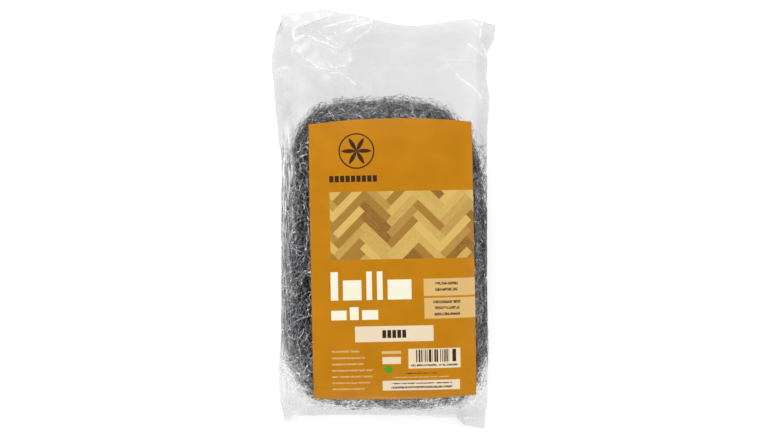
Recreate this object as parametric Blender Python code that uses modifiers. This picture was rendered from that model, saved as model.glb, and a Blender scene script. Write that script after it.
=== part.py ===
"""A pack of fine steel wool: a folded hank of wool under a printed card, in a clear film bag.

The pack lies on its back. X runs across it, Y towards the bag's mouth and Z up through the card.
All sizes are in metres.
"""

import math

import bmesh
import bpy
from mathutils import Matrix, Vector, noise

# Steel wool hank. Heights are measured from its widest line
WOOL_WIDTH = 0.1318
WOOL_LENGTH = 0.2023
WOOL_CROWN = 0.020
WOOL_BASE = 0.0165
WOOL_SAG = 0.0035

# Fold lines in the hank: the lap of the front layer, and the turns that show round its sides
LAP_FROM_SIDE = 0.0165
LAP_DEPTH = 0.0045
LAP_HALF_WIDTH = 0.0065
LAP_LENGTH = 0.150
TURN_DEPTH = 0.0011

# Soft lumps of the folded layers: how deep the hollows between them are, and their spacing
LUMP_DEPTH = 0.0016
LUMP_ACROSS = 0.0115
LUMP_ALONG = 0.024

# Printed card on the front of the wool, as seen from above
CARD_WIDTH = 0.1023
CARD_LENGTH = 0.1721
CARD_THICKNESS = 0.00025
CARD_SHIFT_ACROSS = 0.0052
CARD_SHIFT_ALONG = -0.0044
CARD_TURN = math.radians(1.1)
CARD_GAP = 0.0005
CARD_TOP_BOW = 0.0029
CARD_FOOT_BOW = 0.0015

# Clear film bag
FILM = 0.0001
FRONT_GAP = 0.0006
SIDE_GAP = 0.0008
BACK_GAP = 0.0004
HEADER_LENGTH = 0.0591
HEM_LENGTH = 0.0175
SHEET_GAP = 0.0010
HEADER_MEETS_AFTER = 0.019
HEADER_MEETS_HEIGHT = 0.0095
MOUTH_HEIGHT = 0.0062
HEM_MEETS_AFTER = 0.0075
HEM_MEETS_HEIGHT = 0.0050
HEM_END_HEIGHT = 0.0022

# How much wider than the snug film each side runs, as (distance past the wool's end, extra)
LEFT_FLARE = (
    (-0.220, -0.0008),
    (-0.205, 0.0004),
    (-0.179, 0.0018),
    (-0.150, 0.0),
    (-0.040, 0.0),
    (-0.024, 0.0022),
    (-0.008, 0.0038),
    (0.007, 0.0056),
    (0.024, 0.0078),
    (0.046, 0.0051),
    (0.057, 0.0006),
)
RIGHT_FLARE = (
    (-0.190, 0.0003),
    (-0.157, 0.0008),
    (-0.130, 0.0),
    (-0.024, 0.0),
    (-0.008, 0.0011),
    (0.000, 0.0020),
    (0.013, 0.0002),
    (0.022, 0.0014),
    (0.032, 0.0009),
    (0.052, 0.0064),
    (0.059, 0.0070),
)

# The wavy cut edges, as (place across from -1 to 1, distance short of the furthest point)
MOUTH_DIP = (
    (-1.0, 0.0023),
    (-0.55, 0.0),
    (-0.40, 0.0024),
    (0.26, 0.0104),
    (0.78, 0.0060),
    (1.0, 0.0095),
)
HEM_DIP = (
    (-1.0, 0.0045),
    (-0.82, 0.0087),
    (-0.42, 0.0093),
    (0.17, 0.0089),
    (0.62, 0.0073),
    (0.74, 0.0076),
    (0.79, 0.0022),
    (1.0, 0.0),
)

# Crumple folds in the empty header, as (start, end, height, half width). Places are (across from
# the middle, distance past the wool's end)
HEADER_FOLDS = (
    ((-0.060, 0.045), (-0.034, 0.059), 0.0030, 0.0085),
    ((-0.058, 0.034), (-0.041, 0.018), 0.0032, 0.0090),
    ((-0.041, 0.018), (-0.017, 0.005), 0.0026, 0.0085),
    ((-0.045, 0.044), (-0.026, 0.034), -0.0026, 0.0080),
    ((-0.010, 0.052), (-0.022, 0.036), 0.0026, 0.0085),
    ((0.062, 0.050), (0.064, 0.030), 0.0030, 0.0075),
    ((0.046, 0.018), (0.062, 0.000), 0.0024, 0.0080),
    ((0.010, 0.040), (0.048, 0.034), -0.0014, 0.0140),
)
FOLDS_START_AFTER = 0.004
FOLDS_FULL_AFTER = 0.016

# Roundness of the pad's outline at its four corners, and of its section
MOUTH_LEFT_POWER = 3.8
MOUTH_RIGHT_POWER = 3.4
HEM_LEFT_POWER = 4.3
HEM_RIGHT_POWER = 5.8
RIM_POWER = 6.0
EDGE_POWER = 2.5
RIM = 0.93
RIM_ANGLE = math.acos(RIM ** (RIM_POWER / 2))

# Mesh cells across, along and up each piece, and how much closer together they lie near its edges
WOOL_CELLS = (22, 20, 4)
CARD_CELLS = (14, 20)
FILM_ACROSS = 20
FILM_UP = 4
CELL_CURVE = math.radians(60)

# Spacing of the bag's rings where it lies straight over the wool, and everywhere else
STRAIGHT_HALF = 0.055
STRAIGHT_SPACING = 0.016
BENT_SPACING = 0.0058

# Colours and finishes
WOOL_COLOUR = (0.23, 0.23, 0.24)
CARD_COLOUR = (0.56, 0.23, 0.01)
FILM_COLOUR = (0.80, 0.81, 0.82)
FILM_OPACITY = 0.25

# Worked out from the sizes above
HALF_WIDTH = WOOL_WIDTH / 2
HALF_LENGTH = WOOL_LENGTH / 2
WAIST_HEIGHT = FILM + BACK_GAP + WOOL_BASE
LOWER_BULGE = WOOL_BASE + WOOL_SAG
FRONT_EASE = CARD_GAP + CARD_THICKNESS + FRONT_GAP + FILM
FILM_CROWN = WOOL_CROWN + FRONT_EASE
FILM_LOWER = LOWER_BULGE + BACK_GAP + FILM
FILM_HALF_WIDTH = HALF_WIDTH + SIDE_GAP + FILM
FILM_HALF_LENGTH = HALF_LENGTH + SIDE_GAP + FILM


def clear_scene():
    for thing in list(bpy.data.objects):
        bpy.data.objects.remove(thing, do_unlink=True)


def between(points, place):
    """The value at a place on a smooth line through (place, value) points."""
    if place <= points[0][0]:
        return points[0][1]
    for (low, start), (high, end) in zip(points, points[1:]):
        if place <= high:
            share = (place - low) / (high - low)
            return start + (end - start) * share * share * (3 - 2 * share)
    return points[-1][1]


def ease_in(value, start, end):
    """0 before start, 1 after end, and a smooth rise between them."""
    return between(((start, 0.0), (end, 1.0)), value)


def closer_at_edges(share):
    """Moves evenly spaced places from -1 to 1 closer together towards both ends."""
    return math.sin(share * CELL_CURVE) / math.sin(CELL_CURVE)


def profile(radius):
    """The pad's height at a distance from its middle: 1 in the middle and 0 at the rim."""
    return max(0.0, 1 - abs(radius) ** RIM_POWER) ** (1 / EDGE_POWER)


def rim_place(w):
    """(distance from the middle, height) on the side wall, for w from -1 at its foot to 1 at its top."""
    angle = w * RIM_ANGLE
    height = math.copysign(abs(math.sin(angle)) ** (2 / EDGE_POWER), w)
    return math.cos(angle) ** (2 / RIM_POWER), height


def card_bed(x, y):
    """Height the film holds the card's back to, over the wool and past its rounded corners."""
    return WAIST_HEIGHT + WOOL_CROWN * profile(x / HALF_WIDTH) * profile(y / HALF_LENGTH) + CARD_GAP


def divided_box(cells):
    """A cube from -1 to 1, cut into this many cells along X, Y and Z."""
    mesh = bmesh.new()
    bmesh.ops.create_cube(mesh, size=2.0)
    for axis, count in enumerate(cells):
        along = [e for e in mesh.edges if abs(e.verts[0].co[axis] - e.verts[1].co[axis]) > 0.5]
        bmesh.ops.subdivide_edges(mesh, edges=along, cuts=count - 1, use_grid_fill=True)
    return mesh


def shaped(name, mesh, place, material, collection, parent):
    """Moves each vertex to its place and makes the mesh an object."""
    for vertex in mesh.verts:
        vertex.co = place(*vertex.co)
    data = bpy.data.meshes.new(name)
    mesh.to_mesh(data)
    mesh.free()
    data.shade_smooth()
    data.materials.append(material)
    thing = bpy.data.objects.new(name, data)
    collection.objects.link(thing)
    thing.parent = parent
    return thing


def lap_depth(x, y):
    """Depth of the groove where the front layer is lapped over the one below."""
    wander = 0.0012 * math.sin(y / 0.013)
    off = abs(x + HALF_WIDTH - LAP_FROM_SIDE - wander) / LAP_HALF_WIDTH
    reach = ease_in(LAP_LENGTH / 2 - abs(y), 0.0, LAP_LENGTH / 5)
    return LAP_DEPTH * max(0.0, 1 - off) * reach


def hollow(x, y, z):
    """Depth of the hollows between the wool's lumps, which leaves the tops of the lumps in place."""
    place = Vector((x / LUMP_ACROSS, y / LUMP_ALONG, z / LUMP_ACROSS))
    return LUMP_DEPTH * ease_in(-noise.noise(place), -0.25, 0.35)


def wool_place(u, v, w):
    """Where a point of the divided box lies on the hank."""
    u, v = closer_at_edges(u), closer_at_edges(v)
    on_side = max(abs(u), abs(v)) > 0.999 and abs(w) < 0.999
    radius, height = rim_place(w) if on_side else (RIM * max(abs(u), abs(v)), 0.0)
    if on_side:
        radius -= TURN_DEPTH / HALF_WIDTH * math.sin(1.5 * math.pi * w) ** 2
    else:
        height = math.copysign(profile(radius), w)
    if v > 0:
        power = MOUTH_LEFT_POWER if u < 0 else MOUTH_RIGHT_POWER
    else:
        power = HEM_LEFT_POWER if u < 0 else HEM_RIGHT_POWER
    spread = (abs(u) ** power + abs(v) ** power) ** (1 / power) or 1.0
    x, y = HALF_WIDTH * radius * u / spread, HALF_LENGTH * radius * v / spread
    inward = hollow(x, y, WOOL_CROWN * height)
    if on_side:
        x -= inward * u / spread
        y -= inward * v / spread
        inward = 0.0
    if height > 0:
        return Vector((x, y, WAIST_HEIGHT + WOOL_CROWN * height - max(inward, lap_depth(x, y))))
    return Vector((x, y, WAIST_HEIGHT + max(LOWER_BULGE * height, -WOOL_BASE) + inward))


def card_place(u, v, w):
    """Where a point of a flat square lies on the card, which is draped over the wool."""
    across, along = closer_at_edges(u), closer_at_edges(v)
    bow = (CARD_TOP_BOW if along > 0 else -CARD_FOOT_BOW) * along**2 * (1 - across**2)
    flat = Vector((across * CARD_WIDTH / 2, along * CARD_LENGTH / 2 + bow, 0.0))
    turned = Matrix.Rotation(CARD_TURN, 3, "Z") @ flat
    x, y = turned.x + CARD_SHIFT_ACROSS, turned.y + CARD_SHIFT_ALONG
    return Vector((x, y, card_bed(x, y)))


def tangent_from(meet, dome, side):
    """Where a sheet from the meeting point leaves a dome, and the line's slope. side is 1 over it."""
    steps = [FILM_HALF_LENGTH * i / 200 for i in range(190)]
    slopes = [(side * (dome(y) - meet[1]) / (meet[0] - y), y) for y in steps]
    slope, leaves = max(slopes)
    return leaves, side * slope


def dome_front(y):
    return WAIST_HEIGHT + FILM_CROWN * profile(y / FILM_HALF_LENGTH)


def dome_back(y):
    return max(0.0, WAIST_HEIGHT - FILM_LOWER * profile(y / FILM_HALF_LENGTH))


class End:
    """One end of the bag: where its two sheets leave the wool, meet, and are cut off."""

    def __init__(self, meets_after, meets_height, length, end_height):
        self.meets = HALF_LENGTH + meets_after
        self.meets_height = meets_height
        self.end = HALF_LENGTH + length
        self.end_height = end_height
        half = SHEET_GAP / 2 + FILM
        self.half = half
        self.front = tangent_from((self.meets, meets_height + half), dome_front, 1)
        self.back = tangent_from((self.meets, meets_height - half), dome_back, -1)

    def past(self, y, side):
        """Height of a sheet beyond the meeting line, or halfway between the two when side is 0."""
        share = (y - self.meets) / (self.end - self.meets)
        return self.meets_height + (self.end_height - self.meets_height) * share + side * self.half

    def waist(self, y):
        """Height of the bag's side edges."""
        leaves = self.front[0]
        if y <= leaves:
            return WAIST_HEIGHT
        if y <= self.meets:
            return WAIST_HEIGHT + (self.meets_height - WAIST_HEIGHT) * (y - leaves) / (self.meets - leaves)
        return self.past(y, 0)

    def front_height(self, y):
        leaves, slope = self.front
        if y <= leaves:
            return dome_front(y)
        if y <= self.meets:
            return self.meets_height + self.half + slope * (self.meets - y)
        return self.past(y, 1)

    def back_height(self, y):
        """Height of the back sheet, below the floor where the wool's weight flattens it."""
        leaves, slope = self.back
        if y <= leaves:
            return WAIST_HEIGHT - FILM_LOWER * profile(y / FILM_HALF_LENGTH)
        if y <= self.meets:
            share = (self.meets - y) / (self.meets - leaves)
            below = dome_back(leaves) - (WAIST_HEIGHT - FILM_LOWER * profile(leaves / FILM_HALF_LENGTH))
            return self.meets_height - self.half + slope * (self.meets - y) - below * share
        return self.past(y, -1)


HEADER = End(HEADER_MEETS_AFTER, HEADER_MEETS_HEIGHT, HEADER_LENGTH, MOUTH_HEIGHT)
HEM = End(HEM_MEETS_AFTER, HEM_MEETS_HEIGHT, HEM_LENGTH, HEM_END_HEIGHT)


def film_rows():
    """Places of the bag's rings: one wherever a sheet bends, and others between."""
    bends = [-STRAIGHT_HALF, STRAIGHT_HALF]
    bends += [-place for place in (HEM.front[0], HEM.back[0], HEM.meets, HEM.end)]
    bends += [HEADER.front[0], HEADER.back[0], HEADER.meets, HEADER.end]
    bends.sort()
    rows = bends[:1]
    for low, high in zip(bends, bends[1:]):
        spacing = STRAIGHT_SPACING if high - low > STRAIGHT_HALF else BENT_SPACING
        count = math.ceil((high - low) / spacing)
        rows += [low + (high - low) * (i + 1) / count for i in range(count)]
    return rows


ROWS = film_rows()


def from_segment(x, y, start, end):
    """Distance from a point to a straight line between two points."""
    along = Vector(end) - Vector(start)
    to = Vector((x, y)) - Vector(start)
    share = min(1.0, max(0.0, to.dot(along) / along.length_squared))
    return (to - along * share).length


def crumple(x, y):
    """How far the folds lift both sheets of the header."""
    past = y - HALF_LENGTH
    lift = 0.0
    for start, end, height, half_width in HEADER_FOLDS:
        lift += height * max(0.0, 1 - from_segment(x, past, start, end) / half_width) ** 1.5
    return lift * ease_in(past, FOLDS_START_AFTER, FOLDS_FULL_AFTER)


def film_place(u, v, w):
    """Where a point of the divided box lies on the bag's outer face."""
    y = ROWS[round((v + 1) / 2 * (len(ROWS) - 1))]
    if abs(u) > 0.999:
        across, height = rim_place(w)
        across *= u
    else:
        across = RIM * closer_at_edges(u)
        height = w * profile(across)
    end, distance = (HEADER, y) if y > 0 else (HEM, -y)
    front, back = end.front_height(distance), end.back_height(distance)
    waist = end.waist(distance)
    z = waist + height * (front - waist if height > 0 else waist - back)
    flare = LEFT_FLARE if across < 0 else RIGHT_FLARE
    x = across * (FILM_HALF_WIDTH + between(flare, y - HALF_LENGTH))
    past_meeting = ease_in(distance, end.meets - HEM_MEETS_AFTER, end.end)
    dip = between(MOUTH_DIP if y > 0 else HEM_DIP, across) * past_meeting
    y -= math.copysign(dip, y)
    return Vector((x, y, max(0.0, z + crumple(x, y))))


def finish(name, colour, roughness, metallic, opacity=1.0):
    material = bpy.data.materials.new(name)
    material.use_nodes = True
    shader = material.node_tree.nodes["Principled BSDF"]
    shader.inputs["Base Color"].default_value = (*colour, 1.0)
    shader.inputs["Roughness"].default_value = roughness
    shader.inputs["Metallic"].default_value = metallic
    shader.inputs["Alpha"].default_value = opacity
    return material


def make_wool(collection, parent):
    steel = finish("steel_wool", WOOL_COLOUR, 0.45, 0.8)
    return shaped("wool_bundle", divided_box(WOOL_CELLS), wool_place, steel, collection, parent)


def make_card(collection, parent):
    sheet = bmesh.new()
    bmesh.ops.create_grid(sheet, x_segments=CARD_CELLS[0], y_segments=CARD_CELLS[1], size=1.0)
    card = finish("printed_card", CARD_COLOUR, 0.5, 0.0)
    thing = shaped("printed_card", sheet, card_place, card, collection, parent)
    wall = thing.modifiers.new("thickness", "SOLIDIFY")
    wall.thickness = CARD_THICKNESS
    wall.offset = 1.0
    return thing


def make_bag(collection, parent):
    box = divided_box((FILM_ACROSS, len(ROWS) - 1, FILM_UP))
    mouth = [f for f in box.faces if f.calc_center_median().y > 0.999]
    bmesh.ops.delete(box, geom=mouth, context="FACES")
    clear = finish("clear_film", FILM_COLOUR, 0.12, 0.0, FILM_OPACITY)
    thing = shaped("film_bag", box, film_place, clear, collection, parent)
    wall = thing.modifiers.new("thickness", "SOLIDIFY")
    wall.thickness = FILM
    wall.offset = -1.0
    return thing


def centre_on(pack, bag):
    """Puts the origin under the middle of the bag's box."""
    places = [vertex.co for vertex in bag.data.vertices]
    for axis in (0, 1):
        ends = [place[axis] for place in places]
        pack.location[axis] = -(min(ends) + max(ends)) / 2


def main():
    clear_scene()
    collection = bpy.data.collections.new("steel_wool_pack")
    bpy.context.scene.collection.children.link(collection)
    pack = bpy.data.objects.new("pack", None)
    collection.objects.link(pack)
    make_wool(collection, pack)
    make_card(collection, pack)
    bag = make_bag(collection, pack)
    centre_on(pack, bag)


main()
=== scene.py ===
"""The looks of a pack of fine steel wool: strands, a printed card and clear crumpled film.

The pack lies on its back, with X across it, Y towards the bag's mouth and Z up through the card.
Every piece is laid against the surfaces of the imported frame. Sizes are in metres.
"""

import math

import bpy
import numpy as np
from bpy.props import FloatProperty, FloatVectorProperty, IntProperty, PointerProperty
from mathutils import Matrix, Vector, noise
from mathutils.bvhtree import BVHTree


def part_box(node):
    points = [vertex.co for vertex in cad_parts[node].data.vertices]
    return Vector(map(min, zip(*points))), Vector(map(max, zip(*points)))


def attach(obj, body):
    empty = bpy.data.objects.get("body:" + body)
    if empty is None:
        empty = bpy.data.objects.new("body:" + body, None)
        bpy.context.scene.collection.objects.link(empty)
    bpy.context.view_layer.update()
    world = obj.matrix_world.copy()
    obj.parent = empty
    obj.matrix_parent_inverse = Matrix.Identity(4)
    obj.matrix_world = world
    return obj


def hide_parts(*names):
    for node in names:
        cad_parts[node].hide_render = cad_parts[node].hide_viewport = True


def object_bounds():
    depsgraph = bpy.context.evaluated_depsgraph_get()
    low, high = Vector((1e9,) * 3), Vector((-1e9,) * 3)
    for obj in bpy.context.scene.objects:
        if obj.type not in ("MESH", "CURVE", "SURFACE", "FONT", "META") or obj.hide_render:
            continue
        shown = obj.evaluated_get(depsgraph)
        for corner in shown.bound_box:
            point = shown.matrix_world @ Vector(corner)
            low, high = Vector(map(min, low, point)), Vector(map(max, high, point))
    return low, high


bl_info = {
    "name": "Steel Wool Pack",
    "version": (1, 0, 0),
    "blender": (4, 5, 0),
    "location": "3D View > Sidebar > Steel Wool",
    "description": "Dresses the frame of a steel wool pack with strands, print and film",
    "category": "Object",
}

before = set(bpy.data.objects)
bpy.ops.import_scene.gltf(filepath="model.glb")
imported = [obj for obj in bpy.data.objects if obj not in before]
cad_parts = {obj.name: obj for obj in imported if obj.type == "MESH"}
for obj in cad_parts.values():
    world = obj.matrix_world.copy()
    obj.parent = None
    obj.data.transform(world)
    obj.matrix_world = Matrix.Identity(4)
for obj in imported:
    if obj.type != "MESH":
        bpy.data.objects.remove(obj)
CAD_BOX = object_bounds()
MM = 0.001

# Crumple lines in the film's header, seen from above: (half width, height, points) in millimetres
HEADER_CREASES = (
    (1.6, 1.0, ((-58.8, 125.6), (-44.6, 131.7), (-31.5, 136.6))),
    (1.2, 0.6, ((-56.8, 126.7), (-41.6, 132.3), (-27.6, 135.6))),
    (1.1, 0.5, ((-40.1, 127.3), (-18.9, 132.8))),
    (2.4, 0.9, ((-25.1, 124.4), (-16.9, 128.2), (-9.0, 130.2), (-8.3, 132.4))),
    (1.3, 0.6, ((-8.3, 132.0), (-9.1, 125.2), (-14.6, 120.3), (-19.6, 117.2))),
    (1.3, 0.8, ((-58.0, 125.6), (-58.8, 121.9), (-57.6, 118.5), (-52.6, 121.4), (-48.3, 121.4))),
    (1.9, 1.1, ((-47.1, 120.2), (-40.1, 117.2), (-29.0, 113.0))),
    (1.2, 0.7, ((-44.9, 126.1), (-39.1, 121.6), (-33.1, 118.0), (-29.0, 115.1))),
    (1.0, 0.6, ((-31.9, 124.0), (-30.2, 119.4), (-26.4, 115.1))),
    (0.9, 0.5, ((-27.2, 124.0), (-26.4, 115.1))),
    (1.7, 0.9, (
        (-58.4, 113.4), (-55.0, 110.5), (-50.8, 105.4), (-46.2, 102.0), (-39.9, 98.3), (-36.5, 98.3),
    )),
    (1.5, 0.7, ((-34.8, 95.8), (-28.5, 96.5), (-26.0, 94.5), (-18.8, 88.1))),
    (1.0, 0.4, ((-22.6, 109.2), (-22.2, 103.3))),
    (1.3, 0.6, ((-34.4, 103.3), (-34.0, 99.9), (-25.5, 101.1))),
    (2.2, 0.7, ((-65.1, 100.1), (-62.1, 98.3))),
    (1.7, 1.0, ((65.0, 132.7), (63.5, 119.0), (67.6, 109.7), (69.4, 102.2))),
    (1.4, 0.8, ((56.1, 115.9), (67.6, 106.4))),
    (1.2, 0.7, ((47.6, 94.8), (59.2, 84.3), (62.3, 78.0))),
    (0.9, 0.2, ((43.4, 105.7), (68.4, 104.2))),
    (0.7, 0.1, ((2.2, 95.8), (10.8, 87.4))),
)

# How the film's rows are shared out along the bag: closest together in the crumpled header
ROW_SHARES = ((0.0, 0.10, 0.48, 1.0), (0.0, 0.075, 0.79, 1.0))

# Roundness of the hank's outline at its left and right corners, as in the frame
MOUTH_POWERS, HEM_POWERS = (3.8, 3.4), (4.3, 5.8)

# Parts of the hank, in shares of its half length or of the way to its outline: where the strands turn to
# run round it, where its outer band begins, and where its mouth end and both its ends begin
TURNING, OUTER_BAND = (0.55, 0.85), (0.80, 0.95)
MOUTH_END, BOTH_ENDS = (0.35, 0.85), (0.70, 0.90)

# The groove where the wool's front layer laps over the next, darkened with painted shade: its middle across
# the pack, its half width, and places along the pack with how strong the painted shade is at each, in
# metres
LAP_MIDDLE, LAP_HALF_WIDTH = -0.0486, 0.0034
LAP_SHADE_STRENGTHS = (
    (-0.072, -0.052, -0.044, -0.020, -0.012, 0.002, 0.014, 0.038),
    (0, 0.9, 1.3, 1.3, 0.6, 0.5, 1.0, 0),
)

# Cells of the noise that roughens the hank's body: its lumps, and its locks' width, length and depth
LUMP_SIZE = 0.013
LOCK_WIDTH, LOCK_LENGTH, LOCK_DEPTH = 0.0021, 0.017, 0.0035
CORE_SMOOTHING = 6

# How densely strands start, against 1 on the body's sides: under the card from a margin inwards, on the
# back, how much more on top, and how much less in the groove, where the core's painted shade shows through
CARD_MARGIN = 0.005
UNDER_CARD, ON_BACK, MORE_ON_TOP, LESS_IN_LAP = 0.03, 0.4, 0.8, 0.35

# How densely loose strands start: anywhere, how much more at the outline, and more still at the mouth,
# and how far below the hank's middle height the outline still has its fringe
STRAYS_ANYWHERE, STRAYS_AT_OUTLINE, STRAYS_AT_MOUTH = 0.15, 0.4, 2.4
FRINGE_DROP = 0.004

# Share of the locks that lie out of line: in the middle, how many more at the ends, and of loose ones
TANGLED, TANGLED_AT_ENDS, TANGLED_STRAYS = 0.28, 0.37, 0.6

# The widest angle of a tangled lock, and the usual angle of any other, in radians
TANGLED_ANGLE, USUAL_ANGLE = 1.6, 0.22

# Usual turn from point to point: the same all along a lock, more of it if tangled, and at random
BEND, TANGLED_BEND, WANDER = 0.05, 0.26, 0.14

# Share of the loose strands with one free end, and how far a lock's ends go into the body
FREE_STRAYS = 0.6
END_TUCK = 0.00015

# Where locks stand out further at the sides, short of the mouth, and how much further
SIDE_LIFT = 1.6
SIDES = (0.050, 0.062)
SHORT_OF_MOUTH = (-0.055, -0.030)

# The least room between film and film in which a strand may lie, and its distance from the film
LEAST_ROOM = 0.0020
STRAND_GAP = 0.0002

# Regions of the hank whose strands have another shade, as the places where each starts and is full: painted
# shade in the groove and on the right side, painted light on the left side, and a darker mouth end with
# more contrast. The right one is stronger away from its own middle, and the one at the mouth fades towards
# the right
RIGHT_REGION, RIGHT_MIDDLE, RIGHT_ENDS, RIGHT_MORE = (0.050, 0.060), -0.010, (0.020, 0.035), 0.7
MOUTH_REGION, MOUTH_RIGHT, MOUTH_LESS = (0.045, 0.065), (0.010, 0.040), 1.6
LEFT_REGION, LEFT_LENGTH = (0.050, 0.055), (0.000, 0.020)

# What each region adds to its strands' contrast and to their brightness: the painted shade and painted
# light above
REGION_SHADES = {
    "lap_shade": (1.5, -0.13),
    "right": (-0.35, -0.13),
    "mouth": (0.35, -0.03),
    "left": (-0.20, 0.05),
}

# The strands' contrast elsewhere, how much brighter the outer layers are, which is painted shade on the
# deeper ones, and the patches' strength
CONTRAST, LAYER_PAINTED_SHADE, PATCH_SHADE = 0.88, 0.35, 0.30

# Share of a strand's shade that is its lock's, and share that is its own
LOCK_SHADE, OWN_SHADE = 0.86, 0.14

# Where the wool's duller and brighter patches are read in their endless pattern
PATCH_PLACE = Vector((378.9, 624.6, 849.9))

# Where the film lies empty and hazy, as (start, end, haze before, haze after) across or along the bag
EMPTY_LEFT = (-0.053, -0.062, 0.0, 1.3)
EMPTY_RIGHT = (0.057, 0.064, 0.0, 1.8)
EMPTY_SIDES = (0.025, 0.050)
EMPTY_HEADER = (0.066, 0.082, 0.0, 0.79)
EMPTY_EDGE, EMPTY_EDGE_RIGHT = (0.088, 0.112), (-0.040, -0.010, 0.0, 0.18)
EMPTY_HEM = (-0.113, -0.124)

# Where it clings to the wool's left side, in the same way, and how the clinging fades along the bag; its
# white there is partly the film's milkiness and partly painted reflection on its folds
CLING_LEFT, CLING_BELOW = (-0.053, -0.065), (0.070, 0.030)
CLING_FADE = (-0.030, 0.030, 0.32, 0.85)

# How faint clouds in the empty film fade towards the right, and how milky they are
CLOUD_FADE, CLOUD_SHARE = (0.030, -0.030, 0.25, 1.0), 0.15

# Colours of the empty film's haze, and of its white marks, which are partly painted highlights, and of its
# gloss
HAZE_COLOUR, MARK_COLOUR = (0.33, 0.33, 0.335), (0.95, 0.95, 0.95)

# How far beyond the wool the film starts and ends coming free of it
FREE_FILM = (0.002, 0.016)

# Where the film clings round the wool's foot: near the hank's outline, less of it beyond, and along the bag
FOOT_BAND, FOOT_BEYOND, FOOT_LESS = (0.84, 0.97), (1.01, 1.07), 0.7
FOOT_LENGTH = (0.068, 0.100)

# Cells of the film's random folds across and along the bag, with their seed: crumples and ripples
CRUMPLE_CELLS, RIPPLE_CELLS = (0.021, 0.016, 3.3), (0.008, 0.05, 9.1)

# The crumples' strength in the middle of the sheet and on its right, and how wide its side strips are
CRUMPLE_MIDDLE, CRUMPLE_RIGHT, SIDE_STRIP = 0.3, 0.35, 0.08

# How quickly the creases' widths waver, and how much
WAVER_SIZE, WAVER = 0.006, 0.9

# How far inside the bag the search for its side edges and for its cut edges starts, the number of places
# looked at along a cut edge, and the passes that fit the grid to all four edges
SIDE_SEARCH, END_SEARCH = 0.0015, 0.018
END_COLUMNS, PLAN_PASSES = 300, 6

# A length beyond any edge of the card, and the passes that smooth its heights
BEYOND_CARD, CARD_SMOOTHING = 0.2, 8

# Blocks printed on the card, in millimetres from its middle: (left, right, bottom, top, ink)
CARD_BLOCKS = (
    (19.2, 60.0, -23.5, -12.7, "tan"),
    (19.4, 60.0, -37.6, -24.7, "tan"),
    (-24.0, 24.8, -51.5, -41.7, "cream"),
    (8.9, 41.4, -68.6, -56.2, "cream"),
    (-7.4, 41.0, -82.6, -76.2, "cream"),
    (-38.6, -34.0, -25.3, -7.6, "white"),
    (-31.0, -19.5, -25.3, -12.9, "white"),
    (-16.4, -12.9, -25.3, -7.6, "white"),
    (-9.8, -6.3, -25.3, -7.6, "white"),
    (-3.2, 11.6, -25.3, -12.9, "white"),
    (-38.6, -29.0, -37.6, -31.6, "white"),
    (-27.0, -21.5, -37.6, -29.6, "white"),
    (-19.4, -9.4, -37.6, -31.6, "white"),
    (-7.6, 4.4, -59.1, -57.3, "faint"),
    (-7.3, 4.2, -65.5, -61.1, "cream"),
)

# Rules and lines in place of small print: (left, right, middle height, thickness, ink)
CARD_LINES = (
    (26.2, 40.5, -15.8, 1.7, "dark"),
    (26.4, 40.3, -19.6, 1.7, "dark"),
    (24.9, 42.0, -27.3, 1.7, "dark"),
    (26.2, 41.3, -31.0, 1.7, "dark"),
    (25.6, 41.6, -34.9, 1.7, "dark"),
    (-7.4, 8.1, -46.7, 5.0, "dark"),
    (-38.6, -8.2, 50.2, 4.0, "dark"),
    (-38.8, -21.3, -57.2, 1.1, "faint"),
    (-38.8, -18.2, -61.3, 1.1, "faint"),
    (-38.8, -19.2, -65.2, 1.1, "faint"),
    (-38.8, -12.8, -69.2, 1.1, "faint"),
    (-38.8, -13.6, -73.2, 1.1, "faint"),
    (-38.8, -15.0, -77.2, 1.1, "faint"),
    (-38.8, -18.8, -81.2, 1.1, "faint"),
    (6.7, 26.2, -71.7, 0.7, "dark"),
    (-1.3, 34.2, -74.1, 0.7, "faint"),
    (-2.1, 36.0, -78.1, 0.9, "dark"),
    (-2.1, 36.0, -80.7, 1.4, "dark"),
    (10.5, 39.5, -66.7, 1.3, "dark"),
)

# The panel of herringbone boards and the block of bars, as (left, right, bottom, top), then the round
# ornament and the round spot, as a middle and a radius, in millimetres from the card's middle
PANEL = (-38.3, 60.0, -0.1, 42.1)
BAR_CODE = (13.7, 38.7, -64.7, -56.8)
BAR_MODULES = 95
ROSETTE = (-21.0, 67.5)
ROSETTE_RADIUS = 9.6
SPOT = (-3.7, -68.9)
SPOT_RADIUS = 2.7

# Lines thicker than the first are broken into strokes of about the second, in millimetres
BIG_LINE, STROKE = 3.0, 3.3

# How far the print lies off the card's middle, in millimetres
PRINT_SHIFT = (-0.4, 0.5)

# The boards' width in millimetres, their length in widths, and the sine of their 45 degrees
BOARD_WIDTH, BOARD_LENGTH, BOARD_SLANT = 4.7, 5, 0.7071

# The floor's width, how far it lies under the pack, and how far from the pack it starts and ends turning
# as white as the room, in metres
FLOOR_WIDTH, FLOOR_DROP = 8.0, 0.0001
FLOOR_FADE = (0.5, 1.3)

# The soft lamps: (name, place, share of the full power)
LAMPS = (
    ("left", (-0.80, 0.15, 0.36), 1.15),
    ("right", (0.80, -0.05, 0.34), 0.85),
    ("far", (-0.10, 0.72, 0.60), 1.0),
    ("near", (0.15, -0.85, 0.35), 0.8),
)


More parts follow.
